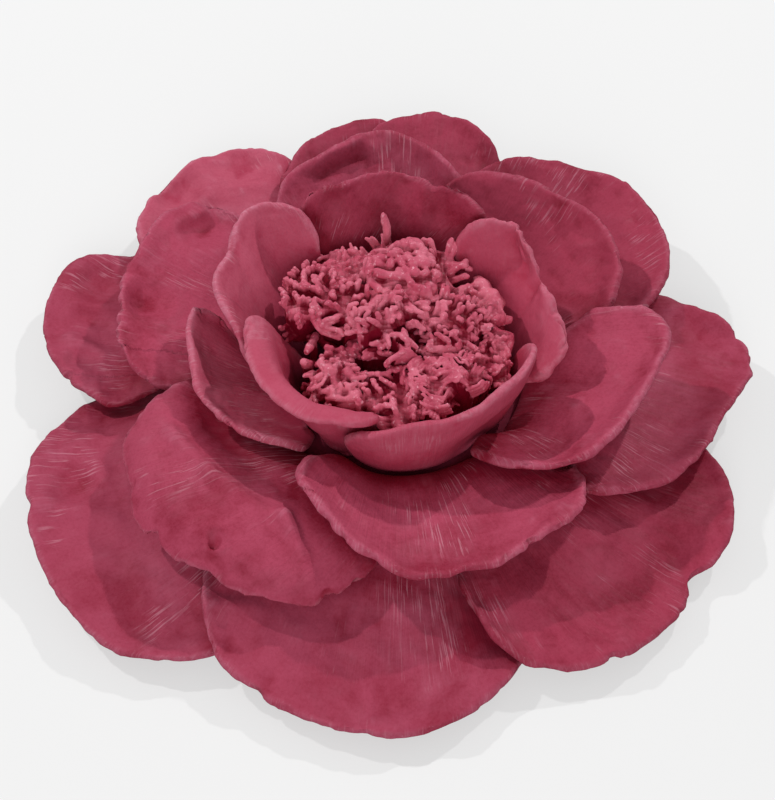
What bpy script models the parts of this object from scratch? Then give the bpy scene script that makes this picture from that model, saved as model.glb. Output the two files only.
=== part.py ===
"""A peony modelled by hand in soft matt clay, lying on the flat underside of its base.

Lengths in this file are millimetres and angles degrees, until a mesh is made in metres. A direction seen from
above is an azimuth: 0 is +X, 90 is +Y, the back of the flower. A height is measured from the top of the base,
where every petal has its root.
"""

import math

import bmesh
import bpy
import numpy as np
from mathutils import Vector
from mathutils.bvhtree import BVHTree

MM = 0.001
SEAT = 0.3  # clearance where one piece of clay stands on another
LAID = 0.45  # clearance where one petal is laid over another

BASE_HEIGHT = 13.0
BASE_FOOT_RADIUS = 44.0
BASE_TOP_RADIUS = 60.0
BASE_ROUND = 3.0

OUTER_THICKNESS = 3.6
OUTER_ROOT_RADIUS = 53.0
MIDDLE_THICKNESS = 3.4
MIDDLE_ROOT_RADIUS = 41.5
DROOP_ROOT_RADIUS = 44.0
INNER_THICKNESS = 2.8
INNER_ROOT_RADIUS = 37.8
CUP_THICKNESS = 2.8
CUP_ROOT_RADIUS = 37.5
BOWL_ROOT_RADIUS = 27.0
LIP_ROOT_RADIUS = 34.0

BED_HEIGHT = 16.0
BED_MARGIN = 1.0  # between the bed or the strands and the wall of the cup
BED_BAND = 3.0  # how far above and below a level of the bed its room is measured
STAMEN_GAP = 0.9  # between one clump of strands and the next
STAMEN_ROUND = 2.4
SPIKE_LENGTH = 11.0
SPIKE_RADIUS = 1.3

ACROSS = 14  # divisions of a petal from side to side
ALONG = 7  # and from root to edge
ROUND_STEPS = 16  # sides of a stamen clump
BED_SIDES = 48

OUTER_BOW = ((0.35, 1.0), (0.75, -6.0))  # share of the way out, and rise off the straight line
MIDDLE_BOW = ((0.45, -4.0), (0.85, -5.0))
DROOP_BOW = ((0.35, 2.0), (0.7, 3.5))
INNER_BOW = ((0.6, -6.0), (0.9, -3.0))
BOWL_BOW = ((0.4, 0.8), (0.75, 1.6))

# Petals in the order in which they were laid, as: ring, azimuths of the two ends of the root, and the corners of
# the free edge from one side to the other (azimuth, distance from the axis, height). Where a petal turns over
# before its edge, the corners of the crest follow.
PETALS = {
    "outer_left_front": (
        "outer", (188, 224),
        [(179, 88, -8), (186, 103, -7), (196, 114, -2), (204, 118, -2), (212, 121, -3), (224, 123, -5),
         (234, 118, -7), (242, 107, -8), (247, 92, -8)],
    ),
    "outer_front": (
        "outer", (242, 278),
        [(230, 84, -4), (237, 99, -2), (243, 108, -4), (251, 112, -6), (262, 117, -7), (274, 117, -7),
         (283, 110, -7), (290, 102, -8), (295, 90, -8)],
    ),
    "outer_right_front": (
        "outer", (294, 328),
        [(282, 80, -1), (285, 93, -3), (291, 106, -5), (302, 113, -7), (313, 114, -7), (321, 111, -6),
         (330, 113, -4), (340, 106, -4), (349, 92, -5)],
    ),
    "outer_right": (
        "outer", (338, 6),
        [(317, 72, 1), (324, 83, 1), (336, 95, 2), (350, 101, 1), (1, 113, 1), (9, 111, 2), (17, 98, 2),
         (24, 82, 0)],
    ),
    "outer_left": (
        "outer", (150, 178),
        [(143, 84, -3), (148, 101, 0), (155, 118, 0), (165, 118, -1), (173, 113, -3), (181, 102, -4),
         (188, 88, -4)],
    ),
    "outer_upper_left": (
        "outer", (118, 142),
        [(106, 82, 0), (110, 99, 2), (118, 114, 5), (127, 117, 5), (135, 115, 4), (144, 107, 4),
         (150, 96, 4), (155, 82, 3)],
    ),
    "outer_back_left": (
        "outer", (94, 110),
        [(84, 95, 2), (91, 113, 5), (99, 112, 6), (107, 105, 6), (114, 93, 6), (119, 82, 5)],
    ),
    "outer_back": (
        "outer", (64, 86),
        [(60, 82, 1), (66, 97, 3), (75, 112, 8), (84, 115, 7), (92, 108, 6), (98, 97, 6)],
    ),
    "outer_upper_right": (
        "outer", (16, 50),
        [(13, 80, 6), (22, 96, 8), (32, 105, 9), (44, 111, 9), (52, 106, 8), (60, 104, 7), (68, 95, 5),
         (74, 82, 5)],
    ),
    "middle_back": (
        "middle", (72, 112),
        [(60, 55, 14), (67, 63, 20), (76, 74, 24), (82, 79, 25), (91, 87, 25), (100, 85, 24), (108, 81, 21),
         (116, 82, 18), (123, 73, 15), (127, 60, 12)],
    ),
    "middle_upper_right": (
        "middle", (10, 58),
        [(358, 58, 12), (5, 63, 14), (14, 71, 18), (24, 78, 21), (36, 80, 23), (46, 77, 25), (56, 75, 26),
         (66, 70, 25), (74, 65, 22), (78, 56, 19)],
    ),
    "middle_left": (
        "middle", (134, 172),
        [(128, 70, 12), (137, 90, 15), (146, 91, 19), (156, 91, 17), (164, 91, 15), (171, 87, 15),
         (180, 85, 13), (187, 79, 11), (192, 68, 8)],
    ),
    "middle_left_front": (
        "drooping", (192, 244),
        [(195, 72, 14), (201, 84, 12), (209, 89, 9), (219, 94, 6), (230, 95, 4), (241, 93, 2),
         (251, 90, 2), (262, 80, 2), (268, 68, 4)],
        [(196, 66, 16), (203, 71, 17), (214, 72, 18), (226, 73, 19), (236, 72, 18), (244, 70, 16),
         (252, 66, 12), (260, 60, 8)],
    ),
    "middle_front": (
        "middle", (251, 304),
        [(240, 52, 20), (243, 63, 23), (250, 67, 20), (261, 76, 15), (270, 81, 13), (281, 82, 13),
         (291, 80, 14), (302, 80, 14), (313, 79, 15), (321, 68, 11)],
    ),
    "middle_right": (
        "middle", (316, 358),
        [(299, 46, 8), (305, 61, 15), (315, 71, 19), (326, 75, 21), (337, 76, 22), (347, 78, 23),
         (358, 82, 24), (5, 78, 24), (10, 62, 19)],
    ),
    "inner_left": (
        "inner", (188, 224),
        [(176, 52, 24), (179, 59, 33), (188, 61, 29), (198, 63, 26), (207, 63, 23), (216, 59, 20),
         (226, 54, 16), (234, 48, 9)],
    ),
    "cup_back": (
        "bowl", (58, 116),
        [(44, 37, 32), (46, 40, 41), (56, 41, 43), (66, 42, 44), (76, 43, 44), (86, 45, 44), (100, 46, 44),
         (111, 45, 43), (122, 45, 43), (130, 44, 42), (135, 43, 34)],
    ),
    "cup_back_left": (
        "bowl", (138, 186),
        [(131, 40, 34), (134, 45, 42), (139, 51, 44), (146, 55, 43), (153, 54, 42), (159, 51, 40), (165, 52, 39),
         (173, 54, 40), (180, 53, 38), (189, 49, 35), (198, 47, 31), (202, 45, 24)],
    ),
    "cup_back_right": (
        "bowl", (352, 40),
        [(340, 45, 16), (346, 50, 24), (354, 50, 29), (2, 48, 32), (12, 46, 33), (20, 46, 36), (28, 45, 40),
         (36, 43, 42), (43, 39, 43), (49, 35, 41), (54, 32, 35)],
    ),
    "cup_front_right": (
        "cup", (268, 330),
        [(248, 44, 20), (252, 45, 26), (262, 46, 31), (275, 45, 34), (291, 45, 35), (306, 45, 36),
         (320, 45, 37), (334, 46, 37), (341, 44, 34), (344, 43, 26)],
    ),
    "cup_front_left": (
        "lipped", (204, 248),
        [(190, 43, 39), (198, 47, 38), (209, 48, 36), (220, 49, 34), (232, 50, 33), (244, 50, 31),
         (256, 48, 30), (264, 44, 29)],
        [(190, 40, 37), (198, 42, 38), (208, 42, 37), (220, 43, 36), (232, 44, 35), (244, 44, 33),
         (256, 43, 31), (264, 41, 28)],
    ),
}

# Clumps of pressed strands: azimuth and distance of the middle, height of the top over the bed.
STAMENS = {
    "stamen_crumb": (129, 26, 17),
    "stamen_fan_left": (166, 27, 18),
    "stamen_strands_left": (182, 15, 20),
    "stamen_smear": (77, 14, 22),
    "stamen_fan_right": (50, 24, 18),
    "stamen_flat_right": (16, 26, 16),
    "stamen_centre": (250, 7, 21),
    "stamen_right": (343, 17, 19),
    "stamen_pellets": (214, 21, 16),
    "stamen_left_strand": (203, 29, 17),
    "stamen_left_lump": (238, 30, 15),
    "stamen_front_strands": (264, 30, 14),
    "stamen_front_lump": (300, 29, 15),
    "stamen_front_right": (333, 31, 14),
    "stamen_back": (96, 27, 14),
}
SPIKE_ON = "stamen_back"


def clay(name, colour, roughness):
    material = bpy.data.materials.new(name)
    material.use_nodes = True
    shader = material.node_tree.nodes["Principled BSDF"]
    shader.inputs["Base Color"].default_value = (*colour, 1.0)
    shader.inputs["Roughness"].default_value = roughness
    shader.inputs["Metallic"].default_value = 0.0
    material.diffuse_color = (*colour, 1.0)
    return material


def point(azimuth, distance, height):
    """A point in millimetres, from its direction, its distance from the axis and its height over the base."""
    turn = math.radians(azimuth)
    return np.array([distance * math.cos(turn), distance * math.sin(turn), BASE_HEIGHT + height])


def smooth_line(corners, count):
    """Evenly spaced points of a rounded line through the corners."""
    ends = [2 * corners[0] - corners[1], *corners, 2 * corners[-1] - corners[-2]]
    dense = []
    for p0, p1, p2, p3 in zip(ends, ends[1:], ends[2:], ends[3:]):
        for t in np.linspace(0, 1, 12, endpoint=False):
            dense.append(
                0.5 * (2 * p1 + (p2 - p0) * t + (2 * p0 - 5 * p1 + 4 * p2 - p3) * t**2
                       + (3 * p1 - p0 - 3 * p2 + p3) * t**3)
            )
    dense = np.array([*dense, corners[-1]])
    lengths = np.concatenate([[0], np.cumsum(np.linalg.norm(np.diff(dense, axis=0), axis=1))])
    wanted = np.linspace(0, lengths[-1], count)
    return np.stack([np.interp(wanted, lengths, dense[:, i]) for i in range(3)], axis=1)


def root_arc(span, distance, thickness, count):
    """The line where a petal stands on the base, half its thickness above the clay below."""
    start, stop = span
    azimuths = np.linspace(start, stop if stop > start else stop + 360, count)
    return np.array([point(a, distance, SEAT + thickness / 2) for a in azimuths])


def bowed(start, stop, bow, steps):
    """A curve from start to stop that leaves and reaches them as bow says: share of the way, and rise off it."""
    near = start + (stop - start) * bow[0][0] + [0, 0, bow[0][1]]
    far = start + (stop - start) * bow[1][0] + [0, 0, bow[1][1]]
    t = np.asarray(steps)[:, None]
    return (1 - t) ** 3 * start + 3 * (1 - t) ** 2 * t * near + 3 * (1 - t) * t**2 * far + t**3 * stop


def cup_curve(start, stop, steps):
    """The wall of the cup: out from the root in a quarter round, then steeply up to the rim."""
    turn = np.array([stop[0], stop[1], start[2]]) + (start - stop) * [0.25, 0.25, 0]
    low = start + (turn - start) * 0.8
    high = turn + (stop - turn) * 0.45
    t = np.asarray(steps)[:, None]
    return (1 - t) ** 3 * start + 3 * (1 - t) ** 2 * t * low + 3 * (1 - t) * t**2 * high + t**3 * stop


def inset_steps(length, margin, count, both_ends):
    """Shares of a length, evenly spread, that leave room at its end for a rounded edge."""
    end = max(0.5, 1 - margin / length)
    return np.linspace(1 - end if both_ends else 0, end, count)


def turned_over(start, crest, stop, wall, count):
    """A curve that rises to the crest and falls outside it, drawn as one smooth line."""
    rise = wall(start, crest, np.linspace(0, 1, 6))
    return smooth_line([*rise, stop + (crest - stop) * [0.3, 0.3, 0.62], stop], count)


def sheet(root, edge, thickness, profile):
    """The middle surface of a petal, as rows from root to edge, held back where its edge is rounded."""
    width = np.linalg.norm(np.diff(edge, axis=0), axis=1).sum()
    columns = inset_steps(width, thickness / 2, ACROSS + 1, both_ends=True)
    places = np.linspace(0, 1, len(edge))
    rows = []
    for share in columns:
        start = np.array([np.interp(share, places, root[:, i]) for i in range(3)])
        stop = np.array([np.interp(share, places, edge[:, i]) for i in range(3)])
        steps = inset_steps(np.linalg.norm(stop - start), thickness / 2, ALONG + 1, both_ends=False)
        rows.append(profile(share, start, stop, steps))
    return np.array(rows)


def facing(grid):
    """Unit normals of a grid of points."""
    normals = np.cross(np.gradient(grid, axis=1), np.gradient(grid, axis=0))
    return normals / np.linalg.norm(normals, axis=2, keepdims=True)


def finer(grid, share):
    """A grid sampled between its points, and a little past its sides and its edge."""
    across, along = grid.shape[:2]
    u = np.arange(-share, across - 1 + 2 * share, share)
    v = np.arange(-share, along - 1 + 2 * share, share)
    i = np.clip(np.floor(u).astype(int), 0, across - 2)
    j = np.clip(np.floor(v).astype(int), 0, along - 2)
    a = (u - i)[:, None, None]
    b = (v - j)[None, :, None]
    corner = [grid[np.ix_(i + di, j + dj)] for di in (0, 1) for dj in (0, 1)]
    points = (corner[0] * (1 - a) * (1 - b) + corner[1] * (1 - a) * b + corner[2] * a * (1 - b)
              + corner[3] * a * b)
    return u, v, points


def laid_on(grid, thickness, lean, below):
    """Moves a petal's surface clear of the pieces under it, towards the axis and up as its lean says."""
    share = 1 / 3
    u, v, samples = finer(grid, share)
    normals = facing(samples)
    reach = 34.0
    needed = np.zeros(samples.shape[:2])
    for a in range(len(u)):
        for b in range(len(v)):
            place = samples[a, b]
            away = push_of(place, lean)
            start = Vector(place + away * reach)
            for tree in below:
                spot, normal, _, distance = tree.ray_cast(start, Vector(-away), 3 * reach)
                if spot is None:
                    continue
                square = max(0.5, min(abs(float(np.dot(normals[a, b], away))), abs(normal.dot(Vector(away)))))
                needed[a, b] = max(needed[a, b], reach - distance + (thickness / 2 + LAID) / square)
    lift = np.zeros(grid.shape[:2])
    for i in range(grid.shape[0]):
        for j in range(grid.shape[1]):
            near_u = np.abs(u - i) < 1.01
            near_v = np.abs(v - j) < 1.01
            lift[i, j] = needed[np.ix_(near_u, near_v)].max()
    eased = lift.copy()
    for _ in range(4):
        padded = np.pad(eased, 1, mode="edge")
        mean = (padded[:-2, 1:-1] + padded[2:, 1:-1] + padded[1:-1, :-2] + padded[1:-1, 2:]) / 4
        mean[:, 0] = lift[:, 0]
        eased = np.maximum(lift, mean)
    moved = grid.copy()
    for i in range(grid.shape[0]):
        for j in range(grid.shape[1]):
            moved[i, j] += push_of(grid[i, j], lean) * eased[i, j]
    return moved


def push_of(place, lean):
    """The direction in which a petal gives way: up, or leaning towards the axis."""
    flat = np.array([place[0], place[1], 0.0])
    flat /= np.linalg.norm(flat)
    return np.array([0, 0, math.cos(math.radians(lean))]) - flat * math.sin(math.radians(lean))


def slab(name, grid, thickness, material):
    """A sheet of clay around a middle surface, with a rounded edge all round."""
    normals = facing(grid)
    outward = np.zeros_like(grid)
    outward[0] += grid[0] - grid[1]
    outward[-1] += grid[-1] - grid[-2]
    outward[:, 0] += grid[:, 0] - grid[:, 1]
    outward[:, -1] += grid[:, -1] - grid[:, -2]
    across, along = grid.shape[:2]
    ring = ([(i, 0) for i in range(across)] + [(across - 1, j) for j in range(1, along)]
            + [(i, along - 1) for i in range(across - 2, -1, -1)] + [(0, j) for j in range(along - 2, 0, -1)])
    points = [*(grid + normals * thickness / 2).reshape(-1, 3), *(grid - normals * thickness / 2).reshape(-1, 3)]
    faces = []
    under = across * along
    for i in range(across - 1):
        for j in range(along - 1):
            quad = [i * along + j, (i + 1) * along + j, (i + 1) * along + j + 1, i * along + j + 1]
            faces.append(quad[::-1])
            faces.append([k + under for k in quad])
    first = len(points)
    for side in (1, -1):
        for i, j in ring:
            out = outward[i, j] - normals[i, j] * np.dot(outward[i, j], normals[i, j])
            out /= np.linalg.norm(out)
            points.append(grid[i, j] + (out * 0.42 + normals[i, j] * 0.24 * side) * thickness)
    count = len(ring)
    levels = [[i * along + j for i, j in ring], [first + k for k in range(count)],
              [first + count + k for k in range(count)], [under + i * along + j for i, j in ring]]
    for above, beneath in zip(levels, levels[1:]):
        for k in range(count):
            faces.append([above[k], above[(k + 1) % count], beneath[(k + 1) % count], beneath[k]])
    return body(name, points, faces, material)


def body(name, points, faces, material):
    """One closed solid, its faces turned outwards."""
    mesh = bpy.data.meshes.new(name)
    mesh.from_pydata([tuple(p * MM) for p in np.asarray(points)], [], [f for f in faces])
    mesh.materials.append(material)
    made = bpy.data.objects.new(name, mesh)
    bpy.context.scene.collection.objects.link(made)
    face_outwards(mesh)
    mesh.shade_smooth()
    return made


def face_outwards(mesh):
    shape = bmesh.new()
    shape.from_mesh(mesh)
    bmesh.ops.recalc_face_normals(shape, faces=shape.faces)
    bmesh.ops.triangulate(shape, faces=shape.faces)
    shape.to_mesh(mesh)
    shape.free()


def tree_of(made):
    """A search tree of a piece, in millimetres."""
    vertices = [v.co / MM for v in made.data.vertices]
    return BVHTree.FromPolygons(vertices, [tuple(p.vertices) for p in made.data.polygons])


def turned(name, outline, sides, material):
    """A round solid from its outline of radius and height, closed at both ends."""
    points = []
    for radius, height in outline:
        for k in range(sides):
            turn = 2 * math.pi * k / sides
            points.append(np.array([radius * math.cos(turn), radius * math.sin(turn), height]))
    faces = [list(range(sides)), [(len(outline) - 1) * sides + k for k in range(sides)]]
    for level in range(len(outline) - 1):
        for k in range(sides):
            a = level * sides + k
            b = level * sides + (k + 1) % sides
            faces.append([a, b, b + sides, a + sides])
    return body(name, points, faces, material)


def room_from(middle, turn, low, high, walls):
    """How far clay can reach from a place inside the cup, in one direction, before it meets the cup's wall."""
    way = Vector((math.cos(turn), math.sin(turn), 0))
    nearest = 1000.0
    for height in np.linspace(low, high, 9):
        for tree in walls:
            spot, _, _, distance = tree.ray_cast(Vector((middle[0], middle[1], height)), way, nearest)
            if spot is not None:
                nearest = min(nearest, distance)
    return nearest - BED_MARGIN


def bed_of_stamens(walls, material):
    """The clay that fills the foot of the cup and carries the strands."""
    low = BASE_HEIGHT + SEAT
    heights = [low + BED_HEIGHT * share for share in (0, 0.2, 0.5, 1)]
    turns = [2 * math.pi * k / BED_SIDES for k in range(BED_SIDES)]
    points = []
    for height in heights:
        under = max(low, height - BED_BAND) + 0.01
        over = height + BED_BAND
        room = [room_from((0.0, 0.0), turn, under, over, walls) for turn in turns]
        room = [min(room[k - 1], room[k], room[(k + 1) % BED_SIDES]) for k in range(BED_SIDES)]
        points += [np.array([r * math.cos(turn), r * math.sin(turn), height]) for turn, r in zip(turns, room)]
    faces = [list(range(BED_SIDES)), [3 * BED_SIDES + k for k in range(BED_SIDES)]]
    for level in range(3):
        for k in range(BED_SIDES):
            a = level * BED_SIDES + k
            b = level * BED_SIDES + (k + 1) % BED_SIDES
            faces.append([a, b, b + BED_SIDES, a + BED_SIDES])
    return body("stamen_bed", points, faces, material)


def cell_of(name, walls):
    """The ground a stamen clump has to itself: the part of the bed that is nearer to it than to any other."""
    low = BASE_HEIGHT + SEAT + BED_HEIGHT
    middles = {key: np.array([d * math.cos(math.radians(a)), d * math.sin(math.radians(a))])
               for key, (a, d, _) in STAMENS.items()}
    middle = middles.pop(name)
    reach = []
    turns = [2 * math.pi * k / ROUND_STEPS for k in range(ROUND_STEPS)]
    for turn in turns:
        way = np.array([math.cos(turn), math.sin(turn)])
        beside = math.pi / ROUND_STEPS
        distance = min(room_from(middle, turn + aside, low, low + STAMENS[name][2], walls)
                       for aside in (-beside, -beside / 2, 0, beside / 2, beside))
        for other in middles.values():
            between = other - middle
            facing_it = float(np.dot(way, between))
            if facing_it > 1e-6:
                half = float(np.dot(between, between)) / 2 - STAMEN_GAP / 2 * float(np.linalg.norm(between))
                distance = min(distance, half / facing_it)
        reach.append(distance)
    return middle, turns, reach


def clump(name, walls, material):
    """A clump of strands as one rounded block over its own ground."""
    middle, turns, reach = cell_of(name, walls)
    low = BASE_HEIGHT + SEAT + BED_HEIGHT + SEAT
    top = low + STAMENS[name][2]
    levels = [(low, 1.0), (top - STAMEN_ROUND, 0.97), (top - STAMEN_ROUND * 0.3, 0.8), (top, 0.45)]
    points = []
    for height, share in levels:
        for turn, distance in zip(turns, reach):
            flat = middle + np.array([math.cos(turn), math.sin(turn)]) * distance * share
            points.append(np.array([flat[0], flat[1], height]))
    sides = len(turns)
    faces = [list(range(sides)), [3 * sides + k for k in range(sides)]]
    for level in range(3):
        for k in range(sides):
            a = level * sides + k
            b = level * sides + (k + 1) % sides
            faces.append([a, b, b + sides, a + sides])
    return body(name, points, faces, material)


def spike(material):
    """The single strand that stands up at the back."""
    azimuth, distance, height = STAMENS[SPIKE_ON]
    foot = point(azimuth, distance, 3 * SEAT + BED_HEIGHT + height)
    points = []
    for share, radius in ((0, 1.0), (0.7, 0.9), (0.94, 0.55)):
        for k in range(8):
            turn = 2 * math.pi * k / 8
            points.append(foot + [radius * SPIKE_RADIUS * math.cos(turn), radius * SPIKE_RADIUS * math.sin(turn),
                                  share * SPIKE_LENGTH])
    points.append(foot + [0, 0, SPIKE_LENGTH])
    faces = [list(range(8))]
    for k in range(8):
        n = (k + 1) % 8
        faces += [[k, n, n + 8, k + 8], [k + 8, n + 8, n + 16, k + 16], [k + 16, n + 16, 24]]
    return body("stamen_spike", points, faces, material)


def petal(name, below, material):
    """Makes one petal of a ring and lays it on what is there already."""
    ring, span, corners, *crest_corners = PETALS[name]
    distance, thickness, lean, wall = RINGS[ring]
    fine = 4 * ACROSS + 1
    edge = smooth_line([point(*corner) for corner in corners], fine)
    root = root_arc(span, distance, thickness, fine)

    def plain(share, start, stop, steps):
        return wall(start, stop, steps)

    def turned_edge(share, start, stop, steps):
        places = np.linspace(0, 1, fine)
        top = np.array([np.interp(share, places, crest[:, i]) for i in range(3)])
        line = turned_over(start, top, stop, wall, 41)
        return np.stack([np.interp(steps, np.linspace(0, 1, 41), line[:, i]) for i in range(3)], axis=1)

    if crest_corners:
        crest = smooth_line([point(*corner) for corner in crest_corners[0]], fine)
    grid = sheet(root, edge, thickness, turned_edge if crest_corners else plain)
    grid = laid_on(grid, thickness, lean, below)
    below.append(tree_of(slab(name, grid, thickness, material)))


# Each ring of petals: distance of the root from the axis, thickness, how far its petals lean in, and the curve
# from root to edge.
RINGS = {
    "outer": (OUTER_ROOT_RADIUS, OUTER_THICKNESS, 0, lambda a, b, t: bowed(a, b, OUTER_BOW, t)),
    "middle": (MIDDLE_ROOT_RADIUS, MIDDLE_THICKNESS, 30, lambda a, b, t: bowed(a, b, MIDDLE_BOW, t)),
    "drooping": (DROOP_ROOT_RADIUS, MIDDLE_THICKNESS, 20, lambda a, b, t: bowed(a, b, DROOP_BOW, t)),
    "inner": (INNER_ROOT_RADIUS, INNER_THICKNESS, 55, lambda a, b, t: bowed(a, b, INNER_BOW, t)),
    "bowl": (BOWL_ROOT_RADIUS, CUP_THICKNESS, 70, lambda a, b, t: bowed(a, b, BOWL_BOW, t)),
    "cup": (CUP_ROOT_RADIUS, CUP_THICKNESS, 82, cup_curve),
    "lipped": (LIP_ROOT_RADIUS, CUP_THICKNESS, 75, cup_curve),
}

for leftover in list(bpy.data.objects):
    bpy.data.objects.remove(leftover, do_unlink=True)

petal_clay = clay("petal_clay", (0.40, 0.055, 0.115), 0.75)
stamen_clay = clay("stamen_clay", (0.46, 0.075, 0.14), 0.75)
base_clay = clay("base_clay", (0.25, 0.03, 0.06), 0.85)

base = turned(
    "base",
    [(BASE_FOOT_RADIUS, 0), (BASE_FOOT_RADIUS + BASE_ROUND, BASE_ROUND / 2),
     (BASE_TOP_RADIUS, BASE_HEIGHT - BASE_ROUND / 2), (BASE_TOP_RADIUS, BASE_HEIGHT)],
    40,
    base_clay,
)
laid = [tree_of(base)]

for petal_name in PETALS:
    petal(petal_name, laid, petal_clay)
bed_of_stamens(laid, stamen_clay)
for clump_name in STAMENS:
    clump(clump_name, laid, stamen_clay)
spike(stamen_clay)
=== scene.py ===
"""The looks of a peony modelled by hand in matt rose clay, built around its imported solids."""

import math

import bmesh
import bpy
import numpy as np
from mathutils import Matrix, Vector, noise
from mathutils.bvhtree import BVHTree


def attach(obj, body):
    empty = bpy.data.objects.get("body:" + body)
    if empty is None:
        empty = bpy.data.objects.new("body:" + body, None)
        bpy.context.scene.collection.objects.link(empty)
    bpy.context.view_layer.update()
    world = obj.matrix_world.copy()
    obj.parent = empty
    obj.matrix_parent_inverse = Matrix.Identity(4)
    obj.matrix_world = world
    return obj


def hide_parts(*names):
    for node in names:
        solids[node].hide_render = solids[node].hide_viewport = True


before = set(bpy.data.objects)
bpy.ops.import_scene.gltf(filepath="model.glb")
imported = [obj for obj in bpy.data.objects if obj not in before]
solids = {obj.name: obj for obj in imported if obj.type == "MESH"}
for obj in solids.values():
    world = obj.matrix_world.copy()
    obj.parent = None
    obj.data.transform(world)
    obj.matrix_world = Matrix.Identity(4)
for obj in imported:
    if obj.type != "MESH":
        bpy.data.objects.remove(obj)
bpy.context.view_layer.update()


# The base: a thick round pad of the same clay, pressed flat on the table, that every petal is fixed to.
# It is hardly seen, only from low down between the outer petals, so it is left rough and painted dark, as
# shade.


def new_material(name):
    material = bpy.data.materials.new(name)
    material.use_nodes = True
    tree = material.node_tree
    shader = tree.nodes["Principled BSDF"]
    return material, tree, shader


def object_place(tree):
    return tree.nodes.new("ShaderNodeTexCoord").outputs["Object"]


def noise_node(tree, vector, scale, detail=3.0, roughness=0.55, distortion=0.0):
    """Noise over another node's output; over object coordinates, scale is how many lumps go to a metre."""
    made = tree.nodes.new("ShaderNodeTexNoise")
    made.inputs["Scale"].default_value = scale
    made.inputs["Detail"].default_value = detail
    made.inputs["Roughness"].default_value = roughness
    made.inputs["Distortion"].default_value = distortion
    tree.links.new(vector, made.inputs["Vector"])
    return made.outputs["Fac"]


def ranged(tree, value, low, high, to_low=0.0, to_high=1.0):
    made = tree.nodes.new("ShaderNodeMapRange")
    made.clamp = True
    made.interpolation_type = "SMOOTHSTEP"
    made.inputs["From Min"].default_value = low
    made.inputs["From Max"].default_value = high
    made.inputs["To Min"].default_value = to_low
    made.inputs["To Max"].default_value = to_high
    tree.links.new(value, made.inputs["Value"])
    return made.outputs["Result"]


def sums(tree, operation, first, second):
    made = tree.nodes.new("ShaderNodeMath")
    made.operation = operation
    made.use_clamp = operation in ("MULTIPLY", "ADD", "MAXIMUM")
    for slot, value in ((0, first), (1, second)):
        if isinstance(value, (int, float)):
            made.inputs[slot].default_value = value
        else:
            tree.links.new(value, made.inputs[slot])
    return made.outputs["Value"]


def mixed(tree, factor, first, second):
    """Two colours mixed; either may be a colour written out or another node's output."""
    made = tree.nodes.new("ShaderNodeMix")
    made.data_type = "RGBA"
    tree.links.new(factor, made.inputs["Factor"])
    for slot, value in (("A", first), ("B", second)):
        socket = [s for s in made.inputs if s.name == slot and s.type == "RGBA"][0]
        if isinstance(value, tuple):
            socket.default_value = (*value, 1.0)
        else:
            tree.links.new(value, socket)
    return [s for s in made.outputs if s.type == "RGBA"][0]


def all_solids():
    """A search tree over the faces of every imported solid."""
    points, faces = [], []
    for solid in solids.values():
        start = len(points)
        points += [v.co.copy() for v in solid.data.vertices]
        faces += [[start + i for i in f.vertices] for f in solid.data.polygons]
    return BVHTree.FromPolygons(points, faces)


def sky_rays(count):
    """Directions spread evenly, by the golden angle, over the half of the sky above a face."""
    turns = np.arange(count) * 2.39996
    heights = 1 - (np.arange(count) + 0.5) / count
    level = np.sqrt(1 - heights**2)
    return np.column_stack([np.cos(turns) * level, np.sin(turns) * level, heights])


WHOLE = all_solids()
RAYS = sky_rays(28)
REACH = 0.022  # clay nearer than this keeps the light out
OFF_FACE = 0.0004  # how far off its own face a ray starts


def occlusion_share(coarse):
    """The share of the directions off each corner of a solid in which other clay, or its own, is near; it is
    painted as shade.
    """
    shares = []
    for v in coarse.vertices:
        facing = Vector((0, 0, 1)).rotation_difference(v.normal)
        start = v.co + v.normal * OFF_FACE
        shut = 0.0
        for ray in RAYS:
            gap = WHOLE.ray_cast(start, facing @ Vector(ray), REACH)[3]
            shut += 0.0 if gap is None else 1 - gap / REACH
        shares.append(shut / len(RAYS))
    return shares


WELD = 0.00002  # corners nearer to each other than this are one
FLAT_PAIR = math.radians(50)  # two triangles that bend less than this become one four-sided face
SKEW_PAIR = math.radians(100)  # and it may be this far from a rectangle


def smooth_copy(node, name, levels):
    """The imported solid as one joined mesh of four-sided faces, and the same divided finely."""
    shape = bmesh.new()
    shape.from_mesh(solids[node].data)
    bmesh.ops.remove_doubles(shape, verts=shape.verts, dist=WELD)
    bmesh.ops.join_triangles(
        shape, faces=shape.faces, angle_face_threshold=FLAT_PAIR, angle_shape_threshold=SKEW_PAIR
    )
    coarse = bpy.data.meshes.new(name + "_plain")
    shape.to_mesh(coarse)
    shape.free()
    # the occlusion is kept for the petals' colour, which paints it as shade
    keep(coarse, "occlusion", occlusion_share(coarse))
    holder = bpy.data.objects.new(name + "_plain", coarse)
    bpy.context.scene.collection.objects.link(holder)
    divide = holder.modifiers.new("divide", "SUBSURF")
    divide.levels = levels
    divide.render_levels = levels
    graph = bpy.context.evaluated_depsgraph_get()
    fine = bpy.data.meshes.new_from_object(holder.evaluated_get(graph))
    bpy.data.objects.remove(holder)
    fine.name = name
    return coarse, fine


def read_points(mesh):
    flat = np.empty(len(mesh.vertices) * 3, np.float32)
    mesh.vertices.foreach_get("co", flat)
    return flat.reshape(-1, 3).astype(float)


def write_points(mesh, points):
    mesh.vertices.foreach_set("co", np.asarray(points, np.float32).ravel())
    mesh.update()


def read_normals(mesh):
    return np.array([n.vector for n in mesh.vertex_normals], float)


SEED_STEP = np.array([7.31, 3.77, 5.13])  # moves one seed's lumps well away from the next one's
FADE = 0.7  # how fast the finer octaves of a lump fade
FINER = 2.0  # and how much finer each is than the last


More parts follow.
